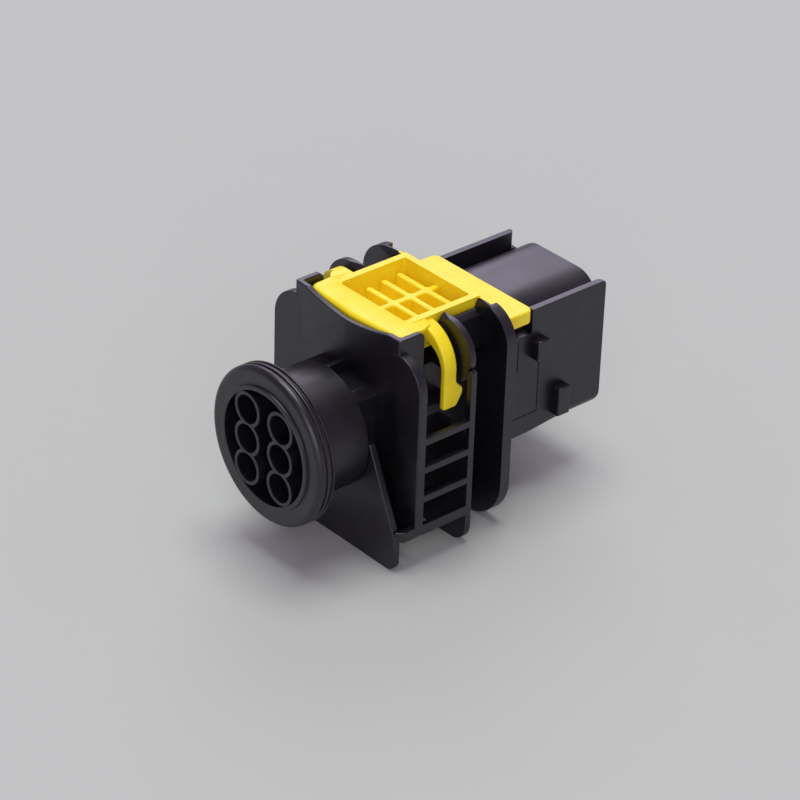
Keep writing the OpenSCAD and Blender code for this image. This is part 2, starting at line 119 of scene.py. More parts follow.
mouldedBlack = {"deep": rgb(0.0032, 0.0028, 0.0040), "pale": rgb(0.0068, 0.0060, 0.0084),
                "scuff": rgb(0.022, 0.020, 0.026), "rough": (0.30, 0.39), "index": 1.60,
                "shine": rgb(0.95, 0.90, 1.0), "grain": 0.006}
mouldedYellow = {"deep": rgb(0.97, 0.735, 0.013), "pale": rgb(1.0, 0.79, 0.022),
                 "scuff": rgb(0.93, 0.76, 0.05), "rough": (0.34, 0.44), "index": 1.45,
                 "shine": rgb(1.0, 1.0, 1.0), "grain": 0.004}


def mouldedPlastic(name, look):
    material, start, place = newMaterial(name)
    flow = place.stretched((0.12, 0.035, 0.12)).noise(1.0, 3.0)  # drawn out along the way the melt ran
    cloud = place.noise(0.35, 4.0, 0.6)
    fine = place.noise(7.0, 3.0, 0.65)  # spark-eroded grain
    scuffs = place.stretched((2.2, 0.5, 1.6)).noise(1.4, 5.0, 0.7).ranged(0.66, 0.80)
    tint = cloud.ranged(0.35, 0.68).blend(look["deep"], look["pale"])
    colour = (scuffs * 0.5).blend(tint, look["scuff"])
    rough = flow.ranged(0.3, 0.7, *look["rough"]) + fine * 0.05 + scuffs * 0.10
    height = fine * look["grain"] + cloud * 0.03 + flow * 0.05
    finishMaterial(start, {"Base Color": colour, "Roughness": rough, "IOR": look["index"],
                           "Specular Tint": look["shine"]}, height)
    return material


tinPlate = {"dull": rgb(0.62, 0.60, 0.56), "bright": rgb(0.80, 0.79, 0.76), "rough": (0.22, 0.36)}


def tinnedMetal():
    material, start, place = newMaterial("tinPlate")
    drawn = place.stretched((6.0, 0.5, 6.0)).noise(2.0, 4.0)  # rolling lines along the strip
    cloud = place.noise(0.9, 3.0)
    colour = cloud.ranged(0.35, 0.7).blend(tinPlate["dull"], tinPlate["bright"])
    rough = drawn.ranged(0.3, 0.7, *tinPlate["rough"]) + cloud * 0.06
    finishMaterial(start, {"Base Color": colour, "Metallic": 1.0, "Roughness": rough},
                   drawn * 0.004 + cloud * 0.01)
    return material


rubberLook = {"deep": rgb(0.020, 0.020, 0.022), "bloom": rgb(0.045, 0.044, 0.047), "rough": (0.52, 0.66)}


def sealRubber():
    material, start, place = newMaterial("sealRubber")
    cloud = place.noise(1.2, 4.0)
    bloom = place.noise(4.0, 4.0, 0.7)
    colour = bloom.ranged(0.4, 0.75).blend(rubberLook["deep"], rubberLook["bloom"])
    finishMaterial(start, {"Base Color": colour, "Roughness": cloud.ranged(0.3, 0.7, *rubberLook["rough"])},
                   bloom * 0.01)
    return material


# what each moulding is made of, the body it rides on and its slot
black = {"body": "housing", "slot": "housing", "material": mouldedPlastic("mouldedBlack", mouldedBlack)}
yellow = {"body": "secondary_lock", "slot": "lock",
          "material": mouldedPlastic("mouldedYellow", mouldedYellow)}


# mesh building, in millimetres
clear = 5.0  # how far a cutting shape goes past what it cuts
sunk = 0.3  # how far a shape goes into the one that it stands on


def arc(x, z, r, start, end, steps=12):
    turn = [math.radians(start + (end - start) * i / steps) for i in range(steps + 1)]
    return [(x + r * math.cos(t), z + r * math.sin(t)) for t in turn]


def bothHalves(right):  # adds the left half to an outline's right half
    return right + [(-a, b) for a, b in reversed(right) if a > 1e-6]


def placed(axis, a, b, level):
    return {"x": (level, a, b), "y": (a, level, b), "z": (a, b, level)}[axis]


def loft(bm, outlines, axis, levels):
    rings = [[bm.verts.new(placed(axis, a, b, level)) for a, b in outline]
             for outline, level in zip(outlines, levels)]
    bm.faces.new(rings[0])
    bm.faces.new(rings[-1][::-1])
    for first, second in zip(rings, rings[1:]):
        for i in range(len(first)):
            j = (i + 1) % len(first)
            bm.faces.new((first[i], second[i], second[j], first[j]))


def prism(bm, outline, axis, low, high):
    loft(bm, [outline, outline], axis, (low, high))


def block(bm, low, high):
    corners = [(low[0], low[1]), (high[0], low[1]), (high[0], high[1]), (low[0], high[1])]
    prism(bm, corners, "z", low[2], high[2])


def lathe(bm, profile, x=0.0, z=0.0, steps=96):  # profile is [(radius, y)], turned about an axis along Y
    rings = []
    for r, y in profile:
        if r < 1e-6:
            rings.append([bm.verts.new((x, y, z))])
        else:
            angles = [2 * math.pi * i / steps for i in range(steps)]
            rings.append([bm.verts.new((x + r * math.cos(t), y, z + r * math.sin(t))) for t in angles])
    for first, second in zip(rings, rings[1:] + rings[:1]):
        if len(first) == len(second) == 1:
            continue
        for i in range(steps):
            j = (i + 1) % steps
            corners = [first[i % len(first)], first[j % len(first)]]
            corners += [second[j % len(second)], second[i % len(second)]]
            bm.faces.new(list(dict.fromkeys(corners)))


def meshObject(name, build):
    bm = bmesh.new()
    build(bm)
    bmesh.ops.recalc_face_normals(bm, faces=bm.faces)
    bmesh.ops.scale(bm, vec=(mm, mm, mm), verts=bm.verts)
    mesh = bpy.data.meshes.new(name)
    bm.to_mesh(mesh)
    bm.free()
    made = bpy.data.objects.new(name, mesh)
    bpy.context.scene.collection.objects.link(made)
    return made


def applied(made):  # freezes the modifiers into the mesh
    bpy.context.view_layer.update()
    graph = bpy.context.evaluated_depsgraph_get()
    mesh = bpy.data.meshes.new_from_object(made.evaluated_get(graph))
    made.modifiers.clear()
    made.data = mesh


def tidied(made):  # drops what the cutting left on flat faces
    bm = bmesh.new()
    bm.from_mesh(made.data)
    bmesh.ops.remove_doubles(bm, verts=bm.verts, dist=0.002 * mm)
    bmesh.ops.dissolve_degenerate(bm, edges=bm.edges, dist=0.002 * mm)
    bmesh.ops.dissolve_limit(bm, angle_limit=math.radians(0.4), verts=bm.verts, edges=bm.edges)
    bm.to_mesh(made.data)
    bm.free()


def combine(made, build, operation):
    other = meshObject("tool", build)
    step = made.modifiers.new("combine", "BOOLEAN")
    step.object, step.operation, step.solver = other, operation, "EXACT"
    step.use_self = True
    applied(made)
    bpy.data.objects.remove(other)


sharpFrom = 28.0  # edges that turn more than this, in degrees, are rounded


def solid(name, build, plastic, edge=None, joined=(), cuts=(), segments=3):
    made = meshObject(name, build)
    for other in joined:
        combine(made, other, "UNION")
    for other in cuts:
        combine(made, other, "DIFFERENCE")
    if joined or cuts:
        tidied(made)
    if edge:
        bevel = made.modifiers.new("edges", "BEVEL")
        bevel.width, bevel.segments, bevel.limit_method = edge * mm, segments, "ANGLE"
        bevel.angle_limit = math.radians(sharpFrom)
        bevel.miter_outer = "MITER_ARC"
        bevel.use_clamp_overlap = True
        applied(made)
    for face in made.data.polygons:
        face.use_smooth = True
    shading = made.modifiers.new("shading", "WEIGHTED_NORMAL")
    shading.weight, shading.keep_sharp = 80, True
    made.data.materials.clear()
    made.data.materials.append(plastic["material"])
    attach(made, plastic["body"])
    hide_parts(plastic["body"])


def bothSides(build):  # repeats a builder's shapes on the left
    def doubled(bm):
        build(bm)
        copy = bmesh.ops.duplicate(bm, geom=bm.verts[:] + bm.edges[:] + bm.faces[:])["geom"]
        bmesh.ops.scale(bm, vec=(-1, 1, 1), verts=[g for g in copy if isinstance(g, bmesh.types.BMVert)])
    return doubled


def mirrored(build):  # moves a builder's shapes to the left
    def flipped(bm):
        build(bm)
        bmesh.ops.scale(bm, vec=(-1, 1, 1), verts=bm.verts)
    return flipped


# cavities: a round bore for the seal, then a chamber and a slot for the blade
cavity = {"across": 4.29, "rowPitch": 5.67, "radius": 2.6, "tube": 3.3, "boreEnd": 21.6, "chamberHalf": 1.95,
          "chamberLow": 1.5, "chamberHigh": 1.9, "chamberEnd": 43.5, "slotHalf": 1.55, "slotHigh": 0.55,
          "slotStart": 42.0, "slotEnd": 48.0}
cells = [(side * cavity["across"], row * cavity["rowPitch"]) for row in (1, 0, -1) for side in (-1, 1)]


def boreCut(bm):
    radius, end = cavity["radius"], cavity["boreEnd"]
    for x, z in cells:
        lathe(bm, [(0, -clear), (radius, -clear), (radius, end), (0, end)], x, z, 48)


def chamberCut(bm):
    c = cavity
    for x, z in cells:
        block(bm, (x - c["chamberHalf"], c["boreEnd"], z - c["chamberLow"]),
              (x + c["chamberHalf"], c["chamberEnd"], z + c["chamberHigh"]))


def bladeCut(bm):
    c = cavity
    for x, z in cells:
        block(bm, (x - c["slotHalf"], c["slotStart"], z - c["slotHigh"]),
              (x + c["slotHalf"], c["slotEnd"], z + c["slotHigh"]))


# wire entry
entry = {"ring": 14.4, "ringBack": 3.7, "ringRound": 1.1, "step": 0.45, "disc": 11.25, "barrel": 11.2,
         "pocket": 10.35, "pocketDeep": 9.0, "barrelEnd": 13.85, "grooves": (1.8, 2.9), "grooveWide": 0.4,
         "grooveDeep": 0.4, "grooveLip": 0.07, "grooveFoot": (0.06, 0.02, 0.1), "pocketLip": 0.14,
         "discLip": 0.16, "soft": 0.3, "crease": (0.05, 0.06), "pocketRound": 0.4, "backRound": 0.18}


def entryProfile():
    e = entry
    pocket, deep, r = e["pocket"], e["pocketDeep"], e["pocketRound"]
    line = [(0, deep), (pocket - r, deep), (pocket, deep - r)]
    r = e["pocketLip"]
    line += arc(pocket + r, r, r, 180, 270, 2)
    disc, r, (inside, outside) = e["disc"], e["discLip"], e["crease"]
    line += arc(disc - r, r, r, -90, 0, 2) + [(disc, e["step"] - inside), (disc + outside, e["step"])]
    ring, r = e["ring"], e["ringRound"]
    line += arc(ring - r, e["step"] + r, r, -90, 0, 8)
    floor, lip, (out, along, deep) = ring - e["grooveDeep"], e["grooveLip"], e["grooveFoot"]
    for y in e["grooves"]:
        line += [(ring, y - lip), (ring - lip, y), (floor + out, y + along), (floor, y + deep)]
        y += e["grooveWide"]
        line += [(floor, y - deep), (floor + out, y - along), (ring - lip, y), (ring, y + lip)]
    r = e["backRound"]
    line += arc(ring - r, e["ringBack"] - r, r, 0, 90, 4)
    barrel, r = e["barrel"], e["soft"]
    line += arc(barrel + r, e["ringBack"] + r, r, 270, 180, 2)
    line += arc(barrel - r, e["barrelEnd"] - r, r, 0, 90, 2)
    return line + [(0, e["barrelEnd"])]


def tubeColumn(x):  # outline of three tubes that run into each other
    pitch, r = cavity["rowPitch"], cavity["tube"]
    meet = math.degrees(math.asin(pitch / 2 / r))
    right = arc(x, pitch, r, 90, -meet, 18) + arc(x, 0, r, meet, -meet, 12)[1:]
    right += arc(x, -pitch, r, meet, -90, 18)[1:]
    return right + [(2 * x - a, b) for a, b in reversed(right[1:-1])]


def wireTubes(bm):
    for side in (-1, 1):
        prism(bm, tubeColumn(side * cavity["across"]), "y", 0.0, entry["pocketDeep"] + sunk)


neck = {"half": 8.09, "high": 9.17, "inset": 0.05, "front": 13.6, "back": 17.9, "ribHalf": 0.5, "ribLow": 8.0,
        "ribTop": 11.3}


def neckOutline():
    half, high, r = neck["half"], neck["high"], entry["barrel"] - neck["inset"]
    low, top = math.degrees(math.acos(half / r)), math.degrees(math.asin(high / r))
    quarter = arc(0, 0, r, top, low, 6)
    right = [(0, high)] + quarter + [(a, -b) for a, b in reversed(quarter)] + [(0, -high)]
    return bothHalves(right)


def barrelNeck(bm):
    prism(bm, neckOutline(), "y", neck["front"], neck["back"])


def barrelRib(bm):
    half = neck["ribHalf"]
    block(bm, (-half, neck["front"], neck["ribLow"]), (half, neck["back"], neck["ribTop"]))


solid("entryBarrel", lambda bm: lathe(bm, entryProfile(), steps=160), black, cuts=[boreCut])
solid("wireTubes", wireTubes, black, edge=0.13, cuts=[boreCut], segments=2)
solid("barrelNeck", barrelNeck, black, edge=0.25, cuts=[boreCut])
solid("barrelRib", barrelRib, black, edge=0.15)
print("wire entry")

# plates, named from the wire side: apron, collar plate, hook plate and rear flange
plates = {"half": 19.0, "foot": -21.2, "apron": (13.85, 15.3), "collar": (17.7, 19.55), "hook": (29.2, 30.45),
          "rear": (37.35, 39.45), "slot": 10.05, "ease": (0.5, 0.15), "hornEase": 0.5}
rungs = {"inner": 17.95, "lows": (2.25, -3.25, -8.95), "high": 1.3, "bar": (-15.35, -13.4)}


def topCorner(x, z, across):  # rounds a top corner, and across is below zero where it lies on the right
    down, between = plates["ease"]
    return [(x, z - down), (x + math.copysign(between, across), z - between), (x + across, z)]


def horn(low, x, z, r):  # from the slot's edge over the top to the plate's side
    inner = plates["slot"]
    return [(inner, low)] + topCorner(inner, z + r, plates["hornEase"]) + arc(x, z, r, 90, 0, 20)


# where each slanted corner starts, and how far it goes across, back and down
leadIns = {"hook": (28.9, 4.8, 2.0, 2.5), "rear": (37.15, 9.2, 1.25, 2.75), "inset": 0.5, "top": 20.7}


def hornLeadIn(plateName):  # slanted corner at the front of the slot between the horns
    y, reach, depth, drop = leadIns[plateName]

    def build(bm):
        x, z = plates["slot"] - leadIns["inset"], leadIns["top"]
        ends = ((x, y, z), (x + reach, y, z), (x, y + depth, z), (x, y, z - drop))
        corners = [bm.verts.new(end) for end in ends]
        for a, b, c in ((0, 1, 2), (0, 2, 3), (0, 3, 1), (1, 3, 2)):
            bm.faces.new((corners[a], corners[b], corners[c]))
    return bothSides(build)


apron = {"half": 18.05, "top": 0.6, "shoulder": -14.7, "footRound": 1.8}


def apronPlate(bm):
    half, r, foot = apron["half"], apron["footRound"], plates["foot"]
    outline = [(0, apron["top"]), (entry["barrel"], apron["top"]), (half, apron["shoulder"])]
    prism(bm, bothHalves(outline + arc(half - r, foot + r, r, 0, -90) + [(0, foot)]), "y", *plates["apron"])


collarPlate = {"top": 17.85, "round": 6.0, "tail": ((16.0, -15.35), (15.6, -16.8)), "recessHalf": 12.45,
               "recessLow": 11.6, "recessFront": 18.85}


def collarPlateShape(bm):
    c = collarPlate
    outline = [(0, c["top"])] + arc(plates["half"] - c["round"], c["top"] - c["round"], c["round"], 90, 0, 20)
    outline += [(plates["half"], rungs["bar"][0]), *c["tail"], (0, c["tail"][1][1])]
    prism(bm, bothHalves(outline), "y", *plates["collar"])


def lockRecess(bm):
    c = collarPlate
    block(bm, (-c["recessHalf"], c["recessFront"], c["recessLow"]),
          (c["recessHalf"], plates["collar"][1] + clear, c["top"] + clear))


hook = {"seat": 11.6, "hornAt": (12.6, 14.37), "hornRound": 6.0, "footRound": 3.4,
        "underHorn": ((18.5, 13.7), (18.05, 12.9), (17.5, 11.6), (16.9, 10.25)), "railTop": 12.9,
        "railEase": (0.4, -0.35), "window": ((9.9, 0.8), (17.95, 10.25))}


def hookPlate(bm):
    half, inner, foot, r = plates["half"], rungs["inner"], plates["foot"], hook["footRound"]
    outline = [(0, hook["seat"])] + horn(hook["seat"], *hook["hornAt"], hook["hornRound"])
    outline += [*hook["underHorn"], (inner, hook["window"][1][1])]
    outline += topCorner(inner, hook["railTop"], hook["railEase"][0])
    outline += topCorner(half, hook["railTop"], hook["railEase"][1])[::-1]
    outline += arc(half - r, foot + r, r, 0, -90) + [(0, foot)]
    prism(bm, bothHalves(outline), "y", *plates["hook"])


def barbWindow(bm):
    (inner, low), (out, high) = hook["window"]
    block(bm, (inner, plates["hook"][0] - clear, low), (out, plates["hook"][1] + clear, high))


rear = {"half": 18.7, "seat": 10.3, "hornHigh": 14.3, "hornRound": 6.1, "footRound": 8.5,
        "recess": ((9.95, 38.25, 15.8), (13.3, 41.0, 22.0))}


def rearFlange(bm):
    half, foot, r = rear["half"], plates["foot"], rear["footRound"]
    outline = [(0, rear["seat"])]
    outline += horn(rear["seat"], half - rear["hornRound"], rear["hornHigh"], rear["hornRound"])
    outline += arc(half - r, foot + r, r, 0, -90, 20) + [(0, foot)]
    prism(bm, bothHalves(outline), "y", *plates["rear"])


def earRecess(bm):
    block(bm, *rear["recess"])


solid("apronPlate", apronPlate, black, edge=0.28)
solid("collarPlate", collarPlateShape, black, edge=0.4, cuts=[lockRecess, boreCut])
solid("hookPlate", hookPlate, black, edge=0.28, cuts=[bothSides(barbWindow), hornLeadIn("hook")])
solid("rearFlange", rearFlange, black, edge=0.28, cuts=[bothSides(earRecess), hornLeadIn("rear")])

ladder = {"front": 19.3, "back": 29.42, "barStart": (14.2, 15.5), "barBack": 17.95, "lipStart": 14.35,
          "lipWide": 1.3, "lipDrop": 0.8}
shelf = {"low": (10.0, 18.6, 4.3), "high": (14.4, 29.6, 6.1)}
rail = {"low": 10.45, "top": 17.85, "wide": 1.55, "crest": ((0.6, 0.8), (0.0, 0.85)), "ends": (29.8, 37.8)}


def sideLadder(bm):
    inner, out, (low, high) = rungs["inner"], plates["half"], rungs["bar"]
    for rung in rungs["lows"]:
        block(bm, (inner, ladder["front"], rung), (out, ladder["back"], rung + rungs["high"]))
    block(bm, (inner, ladder["front"], low), (out, ladder["back"], high))
    first, second = ladder["barStart"]  # the bar's front end is slanted
    outline = [(inner - sunk, first), (inner, first), (out, second), (out, ladder["barBack"])]
    prism(bm, outline + [(inner - sunk, ladder["barBack"])], "z", low, high)
    block(bm, (inner - ladder["lipWide"], ladder["lipStart"], low),
          (inner, ladder["barBack"], high - ladder["lipDrop"]))


def sideShelf(bm):
    x, top = plates["slot"], rail["top"]
    outline = [(x, rail["low"]), (x + rail["wide"], rail["low"]), (x + rail["wide"], top)]
    outline += [(x + across, top + up) for across, up in rail["crest"]]
    prism(bm, outline, "y", *rail["ends"])
    block(bm, shelf["low"], shelf["high"])


solid("sideLadders", bothSides(sideLadder), black, edge=0.16, segments=2)
solid("sideShelves", bothSides(sideShelf), black, edge=0.2, segments=2)

# collar round the front of the lock
collar = {"half": 13.6, "wall": 1.15, "front": 17.7, "back": 23.3, "low": 10.45, "top": 20.4, "dip": 1.5,
          "dipHalf": 10.5, "dipBack": 19.3, "crease": 0.5, "backCrease": 0.55, "corner": 1.3,
          "frontCorner": (0.3, 0.08, 0.4)}


def collarWall(bm):
    half, wall, front, crease = (collar[name] for name in ("half", "wall", "front", "crease"))
    inner, back, (across, first, second) = half - wall, collar["back"], collar["frontCorner"]
    right = [(0, front - crease), (half - across, front + first), (half, front + second), (half, back)]
    right += [(inner, back), (inner, front + wall), (0, front + wall - collar["backCrease"])]
    prism(bm, bothHalves(right), "z", collar["low"], collar["top"])


def collarCorner(bm):  # what lies outside the rounded top corners at the back
    back, top, r, reach = collar["back"], collar["top"], collar["corner"], collar["half"] + clear
    outside = [(back + clear, top - r), (back + clear, top + clear), (back - r, top + clear)]
    prism(bm, arc(back - r, top - r, r, 90, 0, 10) + outside, "x", -reach, reach)


def collarDip(bm):
    half, top, dip, steps = collar["dipHalf"], collar["top"], collar["dip"], 24
    curve = [(i * half / steps, top - dip * (1 - (i / steps) ** 2)) for i in range(-steps, steps + 1)]
    outline = [(half, top + clear), (-half, top + clear)] + curve
    prism(bm, outline, "y", collar["front"] - clear, collar["dipBack"])


solid("collarWall", collarWall, black, edge=0.3, cuts=[collarCorner, collarDip])
print("plates")

# core between the plates, and the seats that the lock stands on
core = {"half": 10.4, "low": -13.57, "top": 11.6, "front": 17.9, "back": 38.0}
base = {"low": 10.45, "rearHalf": 11.6, "rearEnds": (29.6, 37.8), "frontHalf": 12.6,
        "frontEnds": (18.7, 23.1)}
web = {"half": 0.9, "front": 14.2, "low": -20.2, "top": -13.2}
combSlot = {"half": 8.2, "ends": (32.4, 34.6), "low": -11.7}


def coreBlock(bm):
    block(bm, (-core["half"], core["front"], core["low"]), (core["half"], core["back"], core["top"]))


def lockBase(bm):
    for half, (front, back) in ((base["rearHalf"], base["rearEnds"]), (base["frontHalf"], base["frontEnds"])):
        block(bm, (-half, front, base["low"]), (half, back, core["top"]))


def combSlotCut(bm):
    half, (front, back) = combSlot["half"], combSlot["ends"]
    block(bm, (-half, front, combSlot["low"]), (half, back, core["top"] + clear))


def middleWeb(bm):
    block(bm, (-web["half"], web["front"], web["low"]), (web["half"], core["back"], web["top"]))


solid("coreBlock", coreBlock, black, edge=0.3, cuts=[boreCut, chamberCut, combSlotCut])
solid("lockBase", lockBase, black, edge=0.2, cuts=[combSlotCut])
solid("middleWeb", middleWeb, black, edge=0.15)

# shroud
shroud = {"half": 12.1, "low": -9.9, "seat": 10.3, "finTop": 14.9, "fin": 1.15, "hump": 14.75,
          "valley": 11.35, "start": 49.35, "end": 66.75, "wall": 1.5, "mouth": 47.25, "mouthRound": 0.8,
          "roundFrom": 59.0, "corners": (0.4, 1.9), "profileFrom": 60.0, "topRound": 0.9, "lowRound": 2.6,
          "lap": 0.1}
humpDrops = ((0, 0), (3.6, 0.0), (4.6, 0.06), (5.6, 0.22), (6.5, 0.5), (7.3, 0.88), (8.0, 1.32), (8.7, 1.85),
             (9.3, 2.35), (9.9, 2.85), (10.4, 3.2))  # across, and how far the hump has fallen there
key = {"half": 5.2, "round": 0.6, "low": 5.0, "front": 50.55}
finLead = {"lap": 0.05, "above": 0.2}


def lowCorner(r, steps):
    return arc(shroud["half"] - r, shroud["low"] + r, r, 0, -90, steps) + [(0, shroud["low"])]


def shroudOutline(r):
    half, finIn, finTop = shroud["half"], shroud["half"] - shroud["fin"], shroud["finTop"]
    hump = [(x, shroud["hump"] - drop) for x, drop in humpDrops]
    return bothHalves(hump + [(finIn, shroud["valley"]), (finIn, finTop), (half, finTop)] + lowCorner(r, 8))


def shroudBody(bm):  # the lower corners grow rounder towards the mouth
    square, soft = (shroudOutline(r) for r in shroud["corners"])
    loft(bm, [square, soft, soft], "y", (shroud["start"], shroud["roundFrom"], shroud["end"]))


def shroudSeat(bm):
    right = [(0, shroud["seat"]), (shroud["half"], shroud["seat"])] + lowCorner(shroud["corners"][0], 3)
    prism(bm, bothHalves(right), "y", core["back"], shroud["start"] + shroud["lap"])


def sideProfileCut(bm):  # what lies outside the rounded rear corners, seen from the side
    end, low, top, r, lowR = (shroud[name] for name in ("end", "low", "finTop", "topRound", "lowRound"))
    start, reach = shroud["profileFrom"], shroud["half"] + clear
    outline = [(start, top)] + arc(end - r, top - r, r, 90, 0, 8)
    outline += arc(end - lowR, low + lowR, lowR, 0, -90, 10)
    outline += [(start, low), (start, low - clear), (end + clear, low - clear), (end + clear, top + clear)]
    prism(bm, outline + [(start, top + clear)], "x", -reach, reach)


def finLeadIn(bm):  # slanted rear ends of the fins
    x, out, end, lap = shroud["half"] - shroud["fin"], shroud["half"], shroud["end"], finLead["lap"]
    outline = [(x - lap, end - shroud["fin"]), (out - lap, end + lap), (x - lap, end + lap)]
    prism(bm, outline, "z", shroud["valley"] + finLead["above"], shroud["finTop"] + clear)


def mouthCut(bm):
    wall, r = shroud["wall"], shroud["mouthRound"]
    inside, low, roof = shroud["half"] - wall, shroud["low"] + wall, shroud["valley"] - wall
    right = [(0, roof)] + arc(inside - r, roof - r, r, 90, 0, 4) + arc(inside - r, low + r, r, 0, -90, 4)
    prism(bm, bothHalves(right + [(0, low)]), "y", shroud["mouth"], shroud["end"] + clear)


def keyCut(bm):
    top, half, r = shroud["hump"] - shroud["wall"], key["half"], key["round"]
    right = [(0, top)] + arc(half - r, top - r, r, 90, 0, 4) + [(half, key["low"]), (0, key["low"])]
    prism(bm, bothHalves(right), "y", key["front"], shroud["end"] + clear)


panel = {"right": 51.42, "rightTop": 3.9, "left": 46.3, "leftEnds": (3.6, 9.6), "low": -5.95,
         "lowStart": 39.0, "wide": 0.2, "deep": 0.16}


def panelGrooves(bm):
    x, out, w = shroud["half"] - panel["deep"], shroud["half"] + clear, panel["wide"] / 2
    right, left, low = panel["right"], panel["left"], panel["low"]
    block(bm, (x, right - w, low), (out, right + w, panel["rightTop"]))
    block(bm, (x, panel["lowStart"], low - w), (out, right + w, low + w))
    block(bm, (x, left - w, panel["leftEnds"][0]), (out, left + w, panel["leftEnds"][1]))


solid("shroudShell", shroudSeat, black, edge=0.26, joined=[shroudBody],
      cuts=[sideProfileCut, mouthCut, keyCut, chamberCut, bladeCut, bothSides(finLeadIn),
            bothSides(panelGrooves)])
lugs = {"out": 14.0, "length": 2.9, "round": 0.9, "spots": ((49.35, 5.3, 9.1), (54.95, -7.8, -2.2))}


def lugPair(bm):
    r = lugs["round"]
    for y, low, high in lugs["spots"]:
        end = y + lugs["length"]
        outline = [(y, low), (end, low), (end, high)] + arc(y + r, high - r, r, 90, 180, 6)
        prism(bm, outline, "x", shroud["half"] - sunk, lugs["out"])


solid("camLugs", bothSides(lugPair), black, edge=0.3)
print("shroud")

# secondary lock: a frame with a ribbed tray, and a front plate that swells up to the tray's rim
lock = {"top": 19.6, "rim": 20.2, "half": 9.65, "wall": 1.35, "low": 14.3, "front": 22.75, "back": 39.15,
        "trayFront": 23.4, "trayBack": 37.9, "trayRound": 0.4, "floor": 15.6, "rimLow": 19.0,
        "rimFront": 24.2}
plate = {"half": 12.05, "front": 19.2, "vee": 0.55, "round": 2.0, "low": 17.4, "edge": 0.75, "sideEnd": 23.6,
         "rear": ((10.2, 25.6), (9.8, 27.05))}
ramp = {"flatHalf": 9.2, "side": 19.56,
        "rows": ((20.8, 11.0, 19.58), (22.3, 11.5, 19.75), (23.7, 11.7, 20.1), (24.6, 11.7, 20.2),
                 (26.7, 11.0, 20.2))}  # how far back, half width, height
ears = {"half": 11.1, "front": 38.55, "low": 18.4, "top": 19.9}


def lockFrame(bm):
    block(bm, (-lock["half"], lock["front"], lock["low"]), (lock["half"], lock["back"], lock["top"]))


def plateOutline(inset):
    front, half, r = plate["front"], plate["half"], plate["round"]
    right = [(0, front - plate["vee"] + inset)] + arc(half - r, front + r, r - inset, -90, 0, 10)
    return bothHalves(right + [(half - inset, plate["sideEnd"]), *plate["rear"], (0, plate["rear"][-1][1])])


def lockPlate(bm):  # the top edge is rounded in steps of 15 degrees
    r, top = plate["edge"], lock["top"]
    turns = [math.radians(15 * i) for i in range(7)]
    outlines = [plateOutline(0)] + [plateOutline(r * (1 - math.cos(t))) for t in turns]
    loft(bm, outlines, "z", [plate["low"]] + [top - r + r * math.sin(t) for t in turns])


def lockRim(bm):
    block(bm, (-lock["half"], lock["rimFront"], lock["rimLow"]), (lock["half"], lock["back"], lock["rim"]))


def lockRamp(bm):
    low, side, flat = lock["rimLow"], ramp["side"], ramp["flatHalf"]
    outlines = [[(-half, low), (half, low), (half, side), (flat, level), (-flat, level), (-half, side)]
                for y, half, level in ramp["rows"]]
    loft(bm, outlines, "y", [y for y, half, level in ramp["rows"]])


def lockEars(bm):
    block(bm, (-ears["half"], ears["front"], ears["low"]), (ears["half"], lock["back"], ears["top"]))


def trayCut(bm):
    inner, front, back = lock["half"] - lock["wall"], lock["trayFront"], lock["trayBack"]
    r = lock["trayRound"]
    right = [(0, front)] + arc(inner - r, front + r, r, -90, 0, 4) + arc(inner - r, back - r, r, 0, 90, 4)
    prism(bm, bothHalves(right + [(0, back)]), "z", lock["floor"], lock["rim"] + clear)


solid("lockFrame", lockFrame, yellow, edge=0.32, joined=[lockPlate, lockRim, lockRamp, lockEars],
      cuts=[trayCut])

# the arms turn down beside the frame, the left one with a squarer shoulder
arm = {"root": 8.7, "front": 25.85, "back": 28.6, "out": 16.1, "thick": 1.3, "end": 5.2, "low": 16.55,
       "inner": 4.5, "bend": 7.4, "leftBend": 3.6, "leftNarrower": 0.5}
barb = {"sunk": 1.1, "top": 9.95, "tip": (1.55, 8.45), "heel": (1.4, 7.3), "toe": 0.1}
leftShoulder = ((-11.0, 23.9), (-12.1, 24.3), (-12.9, 25.2), (-13.2, 26.6), (-11.0, 26.6))


def armShape(bend, back):
    def build(bm):
        root, out, r, top = arm["root"], arm["out"], arm["inner"], lock["top"]
        inside = out - arm["thick"]
        outline = [(root, top)] + arc(out - bend, top - bend, bend, 90, 0, 20)
        outline += [(out, arm["end"]), (inside, arm["end"])]
        outline += arc(inside - r, arm["low"] - r, r, 0, 90, 20) + [(root, arm["low"])]
        prism(bm, outline, "y", arm["front"], back)
    return build


def armBarb(bm):  # stands out behind the arm's lower end
    y, start, end = arm["back"], arm["back"] - barb["sunk"], arm["end"]
    (tip, tipHigh), (heel, heelHigh) = barb["tip"], barb["heel"]
    outline = [(start, barb["top"]), (y, barb["top"]), (y + tip, tipHigh), (y + heel, heelHigh)]
    outline += [(y + barb["toe"], end), (start, end)]
    prism(bm, outline, "x", arm["out"] - arm["thick"], arm["out"])


def leftFillet(bm):  # the plate runs into the left arm's shoulder
    prism(bm, leftShoulder, "z", plate["low"], lock["top"])


solid("rightArm", armShape(arm["bend"], arm["back"]), yellow, edge=0.45, joined=[armBarb], segments=4)
solid("leftArm", mirrored(armShape(arm["leftBend"], arm["back"] - arm["leftNarrower"])), yellow, edge=0.45,
      joined=[mirrored(armBarb), leftFillet], segments=4)

ribs = {"wide": 1.25, "top": 18.3, "first": 28.2, "pitch": 3.7, "starts": (-6.9, -7.3, -7.5)}


